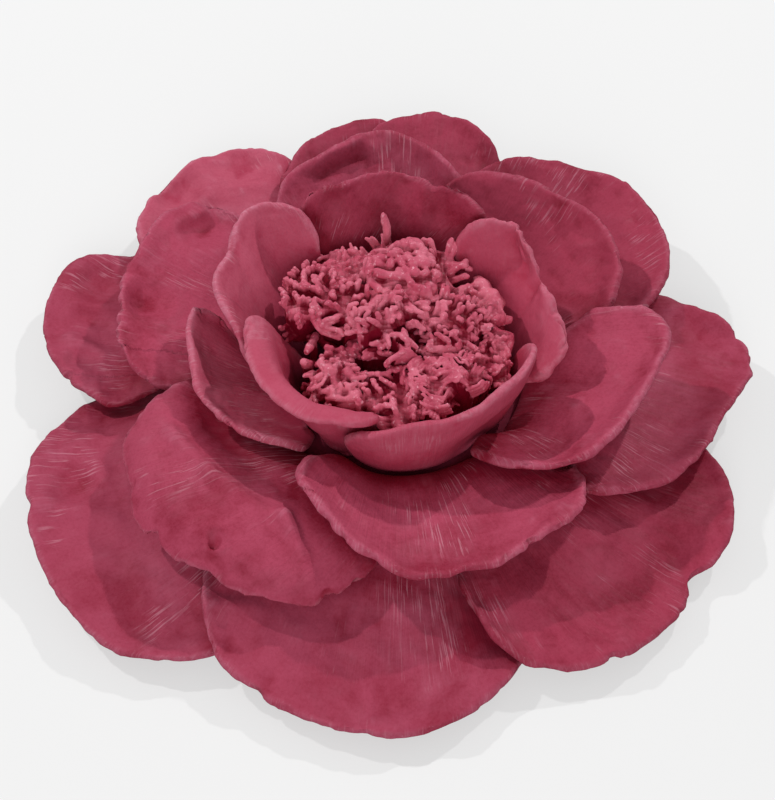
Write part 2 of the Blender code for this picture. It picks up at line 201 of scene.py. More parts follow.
def lumps(points, period, seed, octaves=2):
    """Soft noise between about -1 and 1, its lumps as wide as the period, in metres."""
    places = points / period + seed * SEED_STEP
    return np.array([noise.fractal(Vector(p), FADE, FINER, octaves) for p in places])


def keep(mesh, name, values):
    """Keeps a value at each point of the mesh, for its material or its strands to read."""
    held = mesh.attributes.new(name, "FLOAT", "POINT")
    held.data.foreach_set("value", np.asarray(values, np.float32))


def shown(mesh, name, material, slot, *nodes):
    """The finished piece, riding on the flower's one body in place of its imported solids."""
    mesh.materials.clear()
    mesh.materials.append(material)
    mesh.shade_smooth()
    piece = bpy.data.objects.new(name, mesh)
    bpy.context.scene.collection.objects.link(piece)
    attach(piece, "root")
    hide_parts(*nodes)


def finished(tree, shader, colour, roughness, relief, strength, depth, gloss=0.14):
    """Joins colour, roughness and a fine relief, as deep as depth in metres, to a clay's shader."""
    tree.links.new(colour, shader.inputs["Base Color"])
    tree.links.new(roughness, shader.inputs["Roughness"])
    shader.inputs["Specular IOR Level"].default_value = gloss
    bump = tree.nodes.new("ShaderNodeBump")
    bump.inputs["Strength"].default_value = strength
    bump.inputs["Distance"].default_value = depth
    tree.links.new(relief, bump.inputs["Height"])
    tree.links.new(bump.outputs["Normal"], shader.inputs["Normal"])


def hidden_clay(name, dark, light, blotches, grains, rough, strength):
    """Clay that is hardly seen: blotches of two tones and a fine grain, each as so many to the metre."""
    material, tree, shader = new_material(name)
    place = object_place(tree)
    tone = mixed(tree, ranged(tree, noise_node(tree, place, blotches, 4.0), 0.35, 0.65), dark, light)
    grain = noise_node(tree, place, grains)
    roughness = ranged(tree, grain, 0.3, 0.7, *rough)
    finished(tree, shader, tone, roughness, grain, strength, depth=0.0006, gloss=0.1)
    return material


PAD_SWELL = 0.0008  # how uneven the pad is
PAD_FOOT = 0.003  # its lowest part, where it stays flat on the table

# painted shade: the pad's clay is painted darker than the petals, for the shade under them
base_shade_paint = hidden_clay("base_clay", (0.14, 0.010, 0.024), (0.22, 0.020, 0.045), blotches=60.0, grains=900.0,
                         rough=(0.7, 0.9), strength=0.4)
_, mesh = smooth_copy("base", "clay_base", 3)
points = read_points(mesh)
swell = lumps(points, 0.016, 1.0) * 0.5 + lumps(points, 0.005, 2.0) * 0.25
above = np.clip(points[:, 2] / PAD_FOOT, 0, 1)
points += read_normals(mesh) * (swell * PAD_SWELL * above)[:, None]
write_points(mesh, points)
shown(mesh, "clay_base", base_shade_paint, "base_clay", "base")


# The outer ring: nine petals, slabs of soft clay rolled 3 to 4 mm thick, pinched and torn to shape, brushed
# from root to rim while damp, then laid one over the other on the base and pressed together. Raised rims are
# rubbed pale, and hollows are painted darker, as shade.

BRUSH = 0.00042  # width of a brush mark
STROKE = 0.011  # and its length


def clay_marks():
    """The marks that every petal shares: brush scratches, pale dust on rims and high places, painted shade in
    hollows.
    """
    group = bpy.data.node_groups.new("clay_marks", "ShaderNodeTree")
    face = group.interface
    for name, kind in (("Place", "Vector"), ("Grain", "Vector"), ("Rim", "Float"), ("Lift", "Float"),
                       ("Occlusion", "Float")):
        face.new_socket(name, in_out="INPUT", socket_type="NodeSocket" + kind)
    for name in ("Shade_and_blotch", "Pale", "Scratch", "Rough", "Relief"):
        face.new_socket(name, in_out="OUTPUT", socket_type="NodeSocketFloat")
    into = group.nodes.new("NodeGroupInput")
    out = group.nodes.new("NodeGroupOutput")
    rim, lift = into.outputs["Rim"], into.outputs["Lift"]

    def times(first, second):
        return sums(group, "MULTIPLY", first, second)

    def plus(first, second):
        return sums(group, "ADD", first, second)

    def most(first, second):
        return sums(group, "MAXIMUM", first, second)

    def between(value, low, high, to_low=0.0, to_high=1.0):
        return ranged(group, value, low, high, to_low, to_high)

    def cloudy(per_metre, detail, roughness, distortion=0.0):
        return noise_node(group, into.outputs["Place"], per_metre, detail, roughness, distortion)

    def brushed(stretch, detail, distortion):
        along = group.nodes.new("ShaderNodeMapping")
        along.inputs["Scale"].default_value = stretch
        group.links.new(into.outputs["Grain"], along.inputs["Vector"])
        return noise_node(group, along.outputs["Vector"], 1.0, detail, 0.55, distortion)

    # what the marks are made of: single brush strokes, broad sweeps of the brush, patches, dust and crumbs
    strokes = brushed((1 / BRUSH, 1 / STROKE, 120.0), 2.0, 0.04)
    sweeps = brushed((0.4 / BRUSH, 0.6 / STROKE, 60.0), 3.0, 0.3)
    patches = between(cloudy(42.0, 3.0, 0.6), 0.52, 0.66)
    blotches = cloudy(34.0, 5.0, 0.62, 0.5)
    mist = between(cloudy(38.0, 3.0, 0.6, 0.4), 0.50, 0.70)
    dust = cloudy(640.0, 4.0, 0.6)
    specks = between(cloudy(1100.0, 4.0, 0.65), 0.42, 0.66)
    crumbs = between(cloudy(1500.0, 2.0, 0.5), 0.63, 0.76)
    near = between(rim, 2.2, 0.2)

    # deep: darker blotches and specks of the clay, and painted shade in hollows and where petals close in on
    # it
    hollow_shade = times(between(lift, 0.0, -1.4), 0.8)
    cloud = times(between(blotches, 0.45, 0.68), 0.6)
    shut = times(between(into.outputs["Occlusion"], 0.05, 0.52), 0.95)
    group.links.new(plus(plus(most(cloud, hollow_shade), times(specks, 0.20)), shut), out.inputs["Shade_and_blotch"])

    # pale: dry clay rubbed on rims, on high places and in a thin haze
    rubbed = times(times(near, between(blotches, 0.62, 0.42, 0.15, 1.0)), between(dust, 0.30, 0.62, 0.2, 1.0))
    high = times(between(lift, 0.2, 1.3), between(sweeps, 0.40, 0.66, 0.15, 0.8))
    haze = times(times(mist, between(sweeps, 0.35, 0.62, 0.3, 1.0)), 0.45)
    group.links.new(most(most(rubbed, high), haze), out.inputs["Pale"])

    # scratch: brush marks in patches of the outer part, and crumbs that stuck along the rim
    lines = times(between(strokes, 0.555, 0.63), between(rim, 34.0, 18.0))
    scratch = times(lines, most(patches, times(near, 0.4)))
    stuck = times(crumbs, most(times(near, 0.8), 0.10))
    group.links.new(most(scratch, stuck), out.inputs["Scratch"])

    group.links.new(between(sweeps, 0.3, 0.7, 0.2, 0.9), out.inputs["Rough"])
    relief = plus(plus(times(strokes, 0.40), times(dust, 0.22)), times(sweeps, 0.36))
    group.links.new(relief, out.inputs["Relief"])
    return group


MARKS = clay_marks()


def kept_value(tree, name, output="Fac"):
    """What the mesh keeps at its points under that name."""
    made = tree.nodes.new("ShaderNodeAttribute")
    made.attribute_name = name
    return made.outputs[output]


def clay_paint(name, colour, deep, pale, scratch, worn, rubbed=0.6, relief=0.00035):
    """Matt clay in its colours, deep also being painted shade; worn and rubbed are how much of scratches and
    pale dust it shows.
    """
    material, tree, shader = new_material(name)
    marks = tree.nodes.new("ShaderNodeGroup")
    marks.node_tree = MARKS
    tree.links.new(object_place(tree), marks.inputs["Place"])
    tree.links.new(kept_value(tree, "grain", "Vector"), marks.inputs["Grain"])
    for attribute in ("rim", "lift", "occlusion"):
        tree.links.new(kept_value(tree, attribute), marks.inputs[attribute.capitalize()])
    tone = mixed(tree, marks.outputs["Shade_and_blotch"], colour, deep)
    tone = mixed(tree, sums(tree, "MULTIPLY", marks.outputs["Pale"], rubbed), tone, pale)
    tone = mixed(tree, sums(tree, "MULTIPLY", marks.outputs["Scratch"], worn), tone, scratch)
    roughness = ranged(tree, marks.outputs["Rough"], 0.0, 1.0, 0.52, 0.72)
    finished(tree, shader, tone, roughness, marks.outputs["Relief"], 0.75, relief)
    return material


RIM_BEND = 0.74  # cosine of the least bend between the faces that meet at a rim


def rim_of(coarse):
    """A search tree of the narrow faces that run along the rim of a slab."""
    shape = bmesh.new()
    shape.from_mesh(coarse)
    shape.normal_update()
    rim = set()
    for v in shape.verts:
        facing = [f.normal for f in v.link_faces]
        if min(a.dot(b) for a in facing for b in facing) < RIM_BEND:
            rim.add(v.index)
    faces = [[v.index for v in f.verts] for f in shape.faces if all(v.index in rim for v in f.verts)]
    found = BVHTree.FromPolygons([v.co.copy() for v in shape.verts], faces)
    shape.free()
    return found


def ease(value, low, high):
    """A soft step from 0 at low to 1 at high."""
    t = np.clip((value - low) / (high - low), 0, 1)
    return t * t * (3 - 2 * t)


def spot(azimuth, distance):
    """A place seen from above, given as degrees round the axis and a distance from it."""
    turn = math.radians(azimuth)
    return np.array([math.cos(turn), math.sin(turn)]) * distance


# the widths of a petal's unevenness, in metres
TEAR = 0.013
SPLIT = 0.010
SPLIT_PATCH = 0.020
WAVE = 0.034
RIPPLE = 0.015
LUMP = 0.009
PIT = 0.0028
# how far in from the rim it reaches, in mm: tears and ripples, nibbled places, and waves
EDGE = 9
TIGHT = 2.6
BRIM = 20
FREED = 12  # a petal comes free of the clay under it over this length, in mm
UPRIGHT = 60  # degrees of lean from which a petal is worked by its height and not by its distance out
RISING = 40  # and from which its brush marks run up it as well as out


def petal(node, material, root, lean, seed, ragged=0.45, swell=0.6, curl=0.0, turn=0.0, folds=(), dents=(),
          nicks=()):
    """One petal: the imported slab, divided finely and worked like clay.

    root is where it comes free of the clay under it: mm from the axis, or mm high for an upright one. lean is
    how far it stands up and turn how far the brush went off its length, in degrees. In mm, ragged and swell
    are the unevenness of its rim and faces, and curl is how far the rim turns up. Folds run between two
    places, given as azimuth and mm from the axis, and dents and nicks lie at one. Each ends in its width and
    its height or depth.
    """
    name = "petal_" + node
    coarse, mesh = smooth_copy(node, name, 3)
    rim = rim_of(coarse)
    points = read_points(mesh)
    normals = read_normals(mesh)
    flat = np.hypot(points[:, 0], points[:, 1])
    away = points[:, :2] / np.maximum(flat, 1e-6)[:, None]
    tilt = math.radians(lean)
    push = np.column_stack([-away * math.sin(tilt), np.full(len(points), math.cos(tilt))])
    upper = (normals * push).sum(1) > 0
    found = [rim.find_nearest(Vector(p)) for p in points]
    gap = np.array([f[3] for f in found]) * 1000
    out = np.array([f[1] for f in found])
    free = ease(flat * 1000 if lean < UPRIGHT else points[:, 2] * 1000, root, root + FREED)
    level = points * [1, 1, 0.3]

    # torn and nibbled rim, waves that grow towards it, and lumps in both faces
    edge = 1 - ease(gap, 0, EDGE)
    tight = 1 - ease(gap, 0, TIGHT)
    brim = 1 - ease(gap, 2, BRIM)
    tear = lumps(level, TEAR, seed + 0.3, 3) * 1.3 * edge + lumps(points, PIT, seed + 0.6) * 0.4 * tight
    split = np.clip(1 - np.abs(lumps(points, SPLIT, seed + 0.9)) / 0.10, 0, 1)
    split = split * tight * (lumps(level, SPLIT_PATCH, seed + 0.4, 1) > 0.05)
    wave = lumps(level, WAVE, seed + 1.1) * (0.7 + 2.6 * brim)
    wave += lumps(level, RIPPLE, seed + 1.7) * 1.6 * edge
    lump = lumps(points, LUMP, seed + 2.3, 3)
    pits = lumps(points, PIT, seed + 2.9)
    moved = points.copy()
    moved += out * ((tear - split * 1.1) * ragged * free)[:, None] / 1000
    moved += push * ((wave * swell + curl * edge) * free)[:, None] / 1000
    moved += normals * ((lump * 0.30 + pits * 0.08) * swell * 1.6 * free)[:, None] / 1000
    # lift: how far each place stands out or sinks in; sunk places, splits and nicks are painted in shade from
    # it
    lift = lump * 0.8 + pits * 0.3 + wave * 0.2 - split

    here = points[:, :2] * 1000
    for start, stop, width, height in folds:
        a, b = spot(*start), spot(*stop)
        share = np.clip(((here - a) @ (b - a)) / ((b - a) @ (b - a)), 0, 1)
        off = np.linalg.norm(here - a - share[:, None] * (b - a), axis=1) / width
        shape = np.exp(-(off**2)) * (1 - 0.7 * share) * free
        moved += push * (shape * height)[:, None] / 1000
        lift += shape * height * 0.4
    for azimuth, distance, width, depth in dents:
        off = np.linalg.norm(here - spot(azimuth, distance), axis=1) / width
        lip = 0.45 * np.exp(-((off - 1.25) ** 2) * 7)  # the clay that a dent pushes up round itself
        shape = (np.exp(-(off**2) * 1.6) - lip) * upper * free
        moved -= push * (shape * depth)[:, None] / 1000
        lift -= shape * depth * 0.35
    for azimuth, distance, width, depth in nicks:
        off = np.linalg.norm(here - spot(azimuth, distance), axis=1) / width
        shape = np.exp(-(off**2)) * edge
        moved -= out * (shape * depth)[:, None] / 1000
        lift -= shape * 0.5
    moved[:, 2] = np.maximum(moved[:, 2], 0.0003)  # nothing dips into the table
    write_points(mesh, moved)

    # the brush went from root to rim, so its marks follow the petal round and out
    keep(mesh, "rim", gap)
    keep(mesh, "lift", lift)
    around = np.arctan2(points[:, 1], points[:, 0]) * np.median(flat)
    along = flat + points[:, 2] * (lean > RISING)
    c, s = math.cos(math.radians(turn)), math.sin(math.radians(turn))
    grain = np.column_stack([around * c + along * s, along * c - around * s, normals[:, 2] * 0.002 + seed])
    held = mesh.attributes.new("grain", "FLOAT_VECTOR", "POINT")
    held.data.foreach_set("vector", np.asarray(grain, np.float32).ravel())
    shown(mesh, name, material, "petal_clay", node)


OUTER_ROOT = 58  # mm from the axis to where these petals come free

# copies of one clay, each painted lighter or darker for how the lamps reach its petals: painted light and
# shade
half_shaded_paint = clay_paint("half_shaded_petal_clay", (0.410, 0.056, 0.108), (0.26, 0.012, 0.034), (0.54, 0.155, 0.235),
                        (0.68, 0.30, 0.38), 0.4, rubbed=0.45)
shaded_paint = clay_paint("shaded_petal_clay", (0.385, 0.042, 0.086), (0.215, 0.008, 0.025), (0.50, 0.12, 0.19),
                         (0.62, 0.26, 0.34), 0.4, rubbed=0.4)
most_lit_paint = clay_paint("most_lit_petal_clay", (0.55, 0.098, 0.165), (0.40, 0.036, 0.080), (0.64, 0.23, 0.32),
                        (0.76, 0.40, 0.48), 0.48)
petal("outer_left_front", half_shaded_paint, OUTER_ROOT, 0, 1.0, turn=8, curl=0.6, swell=1.0,
      nicks=[(204, 120, 3.0, 2.6), (194, 116, 2.0, 1.5)], dents=[(203, 103, 7.0, 1.8)],
      folds=[((197, 111), (193, 94), 3.4, 2.6), ((184, 106), (176, 94), 3.4, 2.2),
             ((205, 114), (212, 98), 4.0, 2.2)])
petal("outer_front", half_shaded_paint, OUTER_ROOT, 0, 2.0, swell=1.0,
      nicks=[(250, 113, 1.6, 1.8), (266, 118, 1.4, 1.2)],
      folds=[((259, 84), (262, 100), 4.0, -0.8), ((238, 98), (244, 92), 3.2, 3.0),
             ((246, 104), (240, 108), 4.0, -1.2)])
petal("outer_right_front", shaded_paint, OUTER_ROOT, 0, 3.0, turn=-8, swell=1.0,
      nicks=[(321, 114, 4.0, 5.0), (302, 113, 1.5, 2.0)],
      folds=[((323, 102), (323, 80), 2.6, -1.8), ((328, 104), (326, 84), 5.0, 1.6),
             ((317, 104), (318, 86), 5.0, 1.0)])
petal("outer_right", half_shaded_paint, OUTER_ROOT, 0, 4.0, curl=0.6, swell=1.0, turn=12,
      nicks=[(2, 114, 2.0, 2.0), (8, 111, 1.6, 1.5)], dents=[(10, 98, 8.0, 1.4)])
petal("outer_left", half_shaded_paint, OUTER_ROOT, 0, 5.0, swell=1.0,
      dents=[(158, 104, 8.0, 2.4), (176, 99, 5.0, 1.2)], nicks=[(180, 102, 1.6, 1.6), (184, 98, 1.3, 1.4)],
      folds=[((171, 105), (174, 92), 3.0, 2.2), ((165, 105), (168, 92), 2.6, -1.4)])
petal("outer_upper_left", most_lit_paint, OUTER_ROOT, 0, 6.0, curl=0.8, swell=1.0,
      dents=[(133, 110, 9.0, 1.8), (119, 104, 9.0, 1.6)])
petal("outer_back_left", shaded_paint, OUTER_ROOT, 0, 7.0, swell=0.8)
petal("outer_back", shaded_paint, OUTER_ROOT, 0, 8.0, swell=0.8)
petal("outer_upper_right", shaded_paint, OUTER_ROOT, 0, 9.0, curl=0.6, swell=1.0,
      dents=[(36, 106, 8.0, 1.4)])

# The middle ring: six petals that rise off the outer ones and curl at their rims. The one at the left of the
# front turns over along a crest and droops, with folds down its outer face and a nail mark in the middle.

MIDDLE_ROOT = 50  # mm from the axis to where these petals come free

# a lighter copy of the same clay, as painted light on these petals
half_lit_paint = clay_paint("half_lit_petal_clay", (0.45, 0.060, 0.117), (0.25, 0.010, 0.030),
                          (0.56, 0.155, 0.235), (0.72, 0.34, 0.42), 0.4, rubbed=0.5, relief=0.0005)
petal("middle_back", half_lit_paint, MIDDLE_ROOT, 30, 11.0, curl=0.6, swell=0.9,
      folds=[((98, 83), (110, 79), 2.2, 3.0), ((98, 79), (110, 75), 1.6, -1.4),
             ((84, 78), (74, 72), 2.4, 1.4)])
petal("middle_upper_right", shaded_paint, MIDDLE_ROOT, 30, 12.0, curl=0.8, swell=0.8,
      dents=[(58, 78, 6.0, 1.6), (36, 78, 6.0, 1.2)])
petal("middle_left", half_lit_paint, MIDDLE_ROOT, 30, 13.0, curl=0.8, ragged=0.8, swell=0.8,
      dents=[(143, 78, 7.0, 1.5), (166, 80, 7.0, 2.0)], nicks=[(189, 78, 2.2, 2.2), (166, 91, 1.6, 1.3)],
      folds=[((139, 85), (149, 87), 3.0, 2.4), ((152, 90), (157, 68), 4.0, 1.2)])
petal("middle_left_front", half_lit_paint, MIDDLE_ROOT, 20, 14.0, ragged=1.2, turn=25,
      folds=[((209, 74), (226, 73), 2.2, 1.8), ((224, 73), (246, 74), 2.2, 1.8),
             ((244, 71), (254, 84), 2.2, 3.2), ((211, 61), (243, 63), 6.0, -2.4),
             ((228, 74), (229, 92), 3.0, -1.0), ((216, 76), (216, 90), 3.0, 0.9)],
      dents=[(235, 86, 2.4, 2.4)],
      nicks=[(213, 90, 1.6, 2.0), (216, 90, 1.4, 1.8), (224, 94, 2.2, 3.2), (231, 95, 1.6, 1.8),
             (238, 94, 1.6, 1.6), (257, 84, 1.5, 1.8)])
petal("middle_front", half_lit_paint, MIDDLE_ROOT, 30, 15.0, ragged=0.8, swell=0.8,
      nicks=[(254, 70, 1.5, 1.4), (258, 73, 1.4, 1.4), (265, 78, 1.6, 1.5), (298, 80, 1.3, 1.5)])
petal("middle_right", half_lit_paint, MIDDLE_ROOT, 30, 16.0, curl=0.6, turn=10, swell=0.8,
      folds=[((312, 47), (338, 60), 3.0, 1.4)],
      nicks=[(322, 76, 1.4, 1.2), (345, 72, 1.6, 1.4), (338, 76, 1.2, 1.2)])

# The cup: one low petal at the left and five tall ones in a ring that holds the strands. Their rims are
# rolled smooth between the fingers, and the front left one folds outwards as a rounded lip.

CUP_ROOT = 30  # mm from the axis to where its back petals come free
CUP_FOOT = 18  # the two front ones stand upright, and come free at this height, in mm

# a light copy of the same clay with weak painted shade in its hollows, as painted light in the cup
lit_paint = clay_paint("lit_petal_clay", (0.53, 0.082, 0.145), (0.43, 0.040, 0.084), (0.60, 0.185, 0.26),
                         (0.62, 0.24, 0.31), 0.34)
petal("inner_left", most_lit_paint, 46, 55, 21.0, ragged=1.0)
petal("cup_back", shaded_paint, CUP_ROOT, 50, 22.0, ragged=0.8, swell=1.0, turn=25,
      dents=[(124, 39, 8.0, 2.0), (65, 40, 7.0, 2.0)], nicks=[(74, 42, 1.8, 3.0), (112, 44, 3.0, 1.4)],
      folds=[((72, 43), (56, 40), 1.6, 1.2)])
petal("cup_back_left", most_lit_paint, CUP_ROOT, 50, 23.0, ragged=0.5, swell=0.5,
      folds=[((157, 54), (170, 42), 2.0, -1.2)])
petal("cup_back_right", lit_paint, CUP_ROOT, 50, 24.0, ragged=0.9, swell=0.9, turn=-20,
      folds=[((32, 40), (14, 43), 2.2, -2.8), ((31, 44), (14, 47), 1.8, 1.6), ((14, 47), (9, 36), 2.2, -2.0),
             ((3, 46), (352, 46), 2.4, 1.2)],
      nicks=[(14, 47, 2.2, 3.4), (27, 45, 1.6, 1.2), (359, 48, 2.0, 1.6)])
petal("cup_front_right", lit_paint, CUP_FOOT, 82, 25.0, ragged=0.5, swell=0.4)
petal("cup_front_left", lit_paint, CUP_FOOT, 75, 26.0, ragged=0.5, swell=0.4)


# The bed: soft clay pressed into the foot of the cup, in which the strands stand. It shows only in the gaps
# between them, and is painted almost black as the shade in them.

BED_TOP = (0.024, 0.029)  # the heights between which its unevenness sets in
BED_SWELL = 0.0012  # how uneven it is

# painted shade: the bed's clay painted almost black, for the shade in the gaps
bed_shade_paint = hidden_clay("bed_shade_clay", (0.05, 0.008, 0.014), (0.13, 0.016, 0.032), blotches=260.0, grains=1100.0,
                        rough=(0.6, 0.85), strength=0.6)
_, mesh = smooth_copy("stamen_bed", "clay_bed", 2)
points = read_points(mesh)
rise = lumps(points, 0.005, 31.0, 3) * ease(points[:, 2], *BED_TOP)
points[:, 2] += rise * BED_SWELL
write_points(mesh, points)
shown(mesh, "clay_bed", bed_shade_paint, "stamen_clay", "stamen_bed")


# The strands: clay pushed through a press in threads of 1 to 3 mm, cut, bunched and pressed into the bed in
# fifteen clumps. Most lie side by side in bundles; where fingers pressed them they are lumps and a smear.

# painted light: the strands are painted paler towards their tops
STRAND_LIT_TOPS = (0.034, 0.047)  # the heights between which the strands turn paler

strand_paint, tree, shader = new_material("strand_clay")
place = object_place(tree)
blotch = ranged(tree, noise_node(tree, place, 120.0, 4.0, 0.6), 0.38, 0.62)
grain = noise_node(tree, place, 900.0, 4.0)
height = tree.nodes.new("ShaderNodeSeparateXYZ")
tree.links.new(place, height.inputs["Vector"])
up = ranged(tree, height.outputs["Z"], *STRAND_LIT_TOPS)
tone = mixed(tree, blotch, (0.46, 0.040, 0.086), (0.58, 0.075, 0.132))
tone = mixed(tree, up, tone, mixed(tree, blotch, (0.56, 0.085, 0.148), (0.72, 0.175, 0.255)))
# painted highlight: pale glints scattered over the strands by the grain
tone = mixed(tree, ranged(tree, grain, 0.56, 0.74), tone, (0.86, 0.36, 0.45))
# painted shade: near black where strands lie deep among the others, and at the foot of a clump
tone = mixed(tree, ranged(tree, kept_value(tree, "unshaded"), 0.0, 1.0), (0.20, 0.004, 0.018), tone)
finished(tree, shader, tone, ranged(tree, grain, 0.3, 0.7, 0.34, 0.55), grain, 0.5, 0.0002)

# dark gaps left between the clumps: azimuth, mm from the axis, mm wide
HOLLOWS = [(204, 27, 3.2), (201, 20, 3.6), (250, 18, 5.2), (297, 13, 4.4), (36, 25, 3.2), (299, 37, 4.0)]

UPWARD = 0.12  # strands are set where a lump faces up at least this much
CROWDED = 500000.0  # more strands to the square metre than there is room for, so that Spacing decides
PITCH = 1.85  # from strand to strand in a bundle, in their radii
SUNK = 0.2  # the share of a strand's length that is sunk in the clay


def strand_tree():
    """Bundles of strands set on the upper faces of a lump of clay, leaning one way and pressed down on it."""
    tree = bpy.data.node_groups.new("pressed_strands", "GeometryNodeTree")
    face = tree.interface
    for name, kind in (("Clay", "Geometry"), ("Spacing", "Float"), ("Strands", "Int"), ("Length", "Float"),
                       ("Radius", "Float"), ("Fan", "Float"), ("Lean", "Vector"), ("Follow", "Float"),
                       ("Spread", "Float"), ("Curl", "Float"), ("Wave", "Float"), ("Stand", "Float"),
                       ("Seed", "Int"), ("Material", "Material")):
        face.new_socket(name, in_out="INPUT", socket_type="NodeSocket" + kind)
    face.new_socket("Clay", in_out="OUTPUT", socket_type="NodeSocketGeometry")
    into = tree.nodes.new("NodeGroupInput")
    out = tree.nodes.new("NodeGroupOutput")

    def add(kind, **settings):
        made = tree.nodes.new(kind)
        for key, value in settings.items():
            setattr(made, key, value)
        return made

    def join(source, target):
        """Sets an input to a plain value, or links another node's output to it."""
        if isinstance(source, (int, float, tuple)):
            target.default_value = source
        else:
            tree.links.new(source, target)

    def maths(operation, *values):
        made = add("ShaderNodeMath", operation=operation)
        for slot, value in enumerate(values):
            join(value, made.inputs[slot])
        return made.outputs["Value"]

    def vectors(operation, *values):
        made = add("ShaderNodeVectorMath", operation=operation)
        for slot, value in enumerate(values):
            join(value, made.inputs[slot])
        return made.outputs["Vector"]

    def scaled(vector, factor):
        made = add("ShaderNodeVectorMath", operation="SCALE")
        join(vector, made.inputs[0])
        join(factor, made.inputs["Scale"])
        return made.outputs["Vector"]

    def triple(**parts):
        made = add("ShaderNodeCombineXYZ")
        for axis, value in parts.items():
            join(value, made.inputs[axis])
        return made.outputs["Vector"]

    def chance(low, high):
        made = add("FunctionNodeRandomValue", data_type="FLOAT")
        join(low, made.inputs[2])
        join(high, made.inputs[3])
        join(into.outputs["Seed"], made.inputs["Seed"])
        return made.outputs[1]

    # places for the bundles: upward faces, away from the hollows
    normal = add("ShaderNodeSeparateXYZ")
    join(add("GeometryNodeInputNormal").outputs["Normal"], normal.inputs["Vector"])
    clear = add("GeometryNodeInputNamedAttribute", data_type="FLOAT")
    clear.inputs["Name"].default_value = "clear"
    upward = maths("GREATER_THAN", normal.outputs["Z"], UPWARD)
    wanted = maths("MULTIPLY", upward, maths("GREATER_THAN", clear.outputs["Attribute"], 0.5))
    scatter = add("GeometryNodeDistributePointsOnFaces", distribute_method="POISSON")
    join(into.outputs["Clay"], scatter.inputs["Mesh"])
    join(wanted, scatter.inputs["Selection"])
    join(into.outputs["Spacing"], scatter.inputs["Distance Min"])
    join(CROWDED, scatter.inputs["Density Max"])
    join(into.outputs["Seed"], scatter.inputs["Seed"])

    # direction: between the clay's own normal and the clump's lean, shaken at random, the bundle flat on it
    shake = add("FunctionNodeRandomValue", data_type="FLOAT_VECTOR")
    join((-1, -1, -0.5), shake.inputs["Min"])
    join((1, 1, 0.5), shake.inputs["Max"])
    join(into.outputs["Seed"], shake.inputs["Seed"])
    blend = add("ShaderNodeMix", data_type="VECTOR")
    ends = [s for s in blend.inputs if s.type == "VECTOR"]
    join(into.outputs["Follow"], blend.inputs[0])
    join(into.outputs["Lean"], ends[0])
    join(scatter.outputs["Normal"], ends[1])
    middle = [s for s in blend.outputs if s.type == "VECTOR"][0]
    aimed = vectors("ADD", middle, scaled(shake.outputs["Value"], into.outputs["Spread"]))
    across = vectors("CROSS_PRODUCT", aimed, scatter.outputs["Normal"])
    tipped = vectors("ADD", across, vectors("MULTIPLY", shake.outputs["Value"], (0.2, 0.2, 0.2)))
    point = add("FunctionNodeAlignRotationToVector", axis="Z")
    join(aimed, point.inputs["Vector"])
    turn = add("FunctionNodeAlignRotationToVector", axis="X", pivot_axis="Z")
    join(point.outputs["Rotation"], turn.inputs["Rotation"])
    join(tipped, turn.inputs["Vector"])

    # a bundle: strands side by side that open like a fan, each a line with its root sunk in the clay
    pitch = maths("MULTIPLY", into.outputs["Radius"], PITCH)
    half = maths("MULTIPLY", maths("SUBTRACT", into.outputs["Strands"], 1.0), 0.5)
    row = add("GeometryNodeMeshLine", mode="OFFSET")
    join(into.outputs["Strands"], row.inputs["Count"])
    join(triple(X=maths("MULTIPLY", maths("MULTIPLY", pitch, half), -1.0)), row.inputs["Start Location"])
    join(triple(X=pitch), row.inputs["Offset"])
    in_row = maths("SUBTRACT", add("GeometryNodeInputIndex").outputs["Index"], half)
    line = add("GeometryNodeCurvePrimitiveLine", mode="POINTS")
    join((0, 0, -SUNK), line.inputs["Start"])
    join((0, 0, 1 - SUNK), line.inputs["End"])
    steps = add("GeometryNodeResampleCurve")
    join(12, steps.inputs["Count"])
    join(line.outputs["Curve"], steps.inputs["Curve"])
    bundle = add("GeometryNodeInstanceOnPoints")
    join(row.outputs["Mesh"], bundle.inputs["Points"])
    join(steps.outputs["Curve"], bundle.inputs["Instance"])
    join(triple(Y=maths("MULTIPLY", in_row, into.outputs["Fan"])), bundle.inputs["Rotation"])
    tall = maths("MULTIPLY", chance(0.72, 1.1), into.outputs["Length"])
    join(triple(X=1.0, Y=1.0, Z=tall), bundle.inputs["Scale"])
    bound = add("GeometryNodeRealizeInstances")
    join(bundle.outputs["Instances"], bound.inputs["Geometry"])
    plant = add("GeometryNodeInstanceOnPoints")
    join(scatter.outputs["Points"], plant.inputs["Points"])
    join(bound.outputs["Geometry"], plant.inputs["Instance"])
    join(turn.outputs["Rotation"], plant.inputs["Rotation"])
    join(chance(0.75, 1.2), plant.inputs["Scale"])
    real = add("GeometryNodeRealizeInstances")
    join(plant.outputs["Instances"], real.inputs["Geometry"])

    # each bundle bends its own way, more towards its tip, and its strands a little apart
    where = add("GeometryNodeInputPosition").outputs["Position"]
    share = add("GeometryNodeSplineParameter").outputs["Factor"]
    amount = maths("MULTIPLY", share, into.outputs["Curl"])
    bends = []
    for scale, part in ((into.outputs["Wave"], 2.0), (maths("MULTIPLY", into.outputs["Wave"], 5.0), 0.32)):
        swirl = add("ShaderNodeTexNoise")
        join(1.0, swirl.inputs["Detail"])
        join(scale, swirl.inputs["Scale"])
        join(where, swirl.inputs["Vector"])
        centred = vectors("SUBTRACT", swirl.outputs["Color"], (0.5, 0.5, 0.56))
        bends.append(scaled(centred, maths("MULTIPLY", amount, part)))
    bent = add("GeometryNodeSetPosition")
    join(real.outputs["Geometry"], bent.inputs["Geometry"])
    join(vectors("ADD", *bends), bent.inputs["Offset"])

